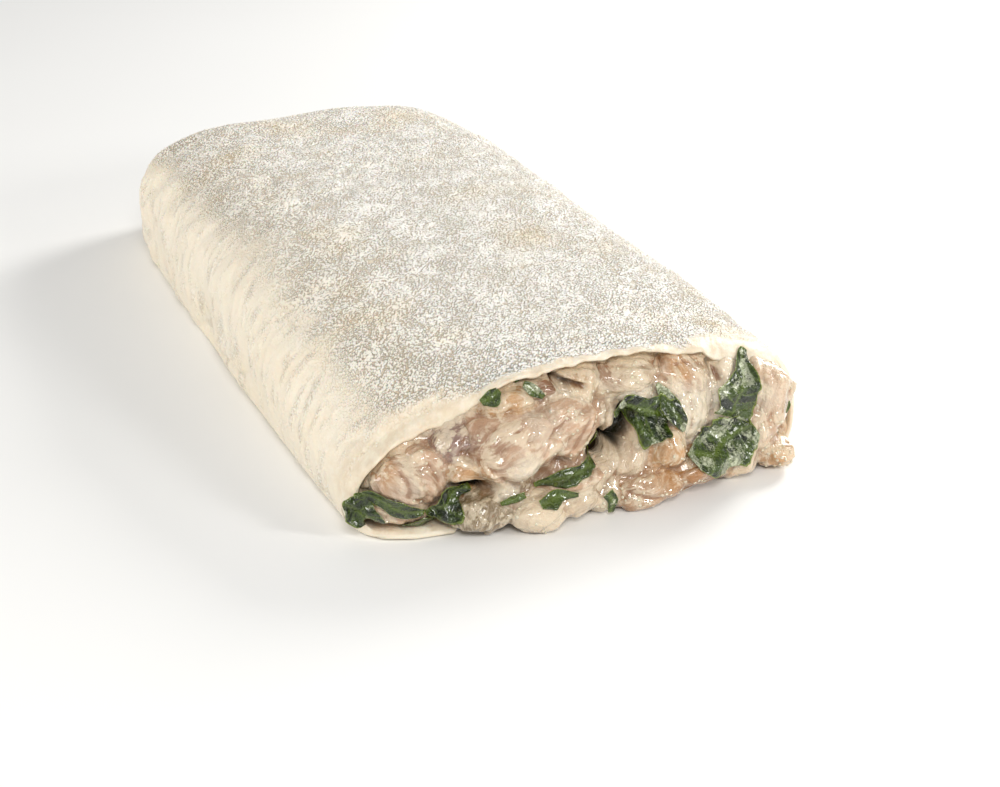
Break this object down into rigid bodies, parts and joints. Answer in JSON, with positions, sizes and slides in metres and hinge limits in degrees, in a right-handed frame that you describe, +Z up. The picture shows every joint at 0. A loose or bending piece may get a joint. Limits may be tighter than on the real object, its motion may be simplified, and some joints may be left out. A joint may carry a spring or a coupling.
{
  "type": "chicken puff pastry",
  "caption": "Unbaked puff pastry log round a chicken and spinach filling, closed at one end and cut open at the other, dusted with flour.",
  "frame": {"origin": "on the table under the middle of the object's box", "axes": "+Y along the log from the cut end to the closed end, +Z up, +X across the log to the right as seen from the cut"},
  "size_m": [0.17, 0.3268, 0.0574],
  "materials": {
    "dough": "raw puff pastry dough, matt, dusted with flour",
    "filling": "creamy chicken filling, wet",
    "chicken": "raw chicken pieces in cream sauce, wet and slightly translucent",
    "spinach": "wilted spinach leaf, moist, smeared with cream"
  },
  "bodies": {
    "root": {"dough": "dough", "filling": "filling", "chicken_big": "chicken", "chicken_hook": "chicken", "chicken_left": "chicken", "chicken_knob": "chicken", "chicken_low_middle": "chicken", "chicken_strip": "chicken", "chicken_low_right": "chicken", "chicken_low_left": "chicken", "chicken_under_strand": "chicken", "chicken_dark": "chicken", "chicken_top_left": "chicken", "chicken_top_dark": "chicken", "chicken_top_middle": "chicken", "chicken_top": "chicken", "chicken_top_right": "chicken", "chicken_middle": "chicken", "chicken_right_strand": "chicken", "chicken_end": "chicken", "chicken_behind_leaf": "chicken", "chicken_crumbly": "chicken", "chicken_low_end": "chicken", "chicken_corner": "chicken", "spinach_right_upper": "spinach", "spinach_right_lower": "spinach", "spinach_middle": "spinach", "spinach_middle_tip": "spinach", "spinach_strip": "spinach", "spinach_strip_end": "spinach", "spinach_left": "spinach", "spinach_left_strip": "spinach", "spinach_left_fold": "spinach", "spinach_floor": "spinach", "spinach_rim": "spinach", "spinach_top": "spinach", "spinach_low": "spinach", "spinach_low_end": "spinach"}
  },
  "joints": []
}
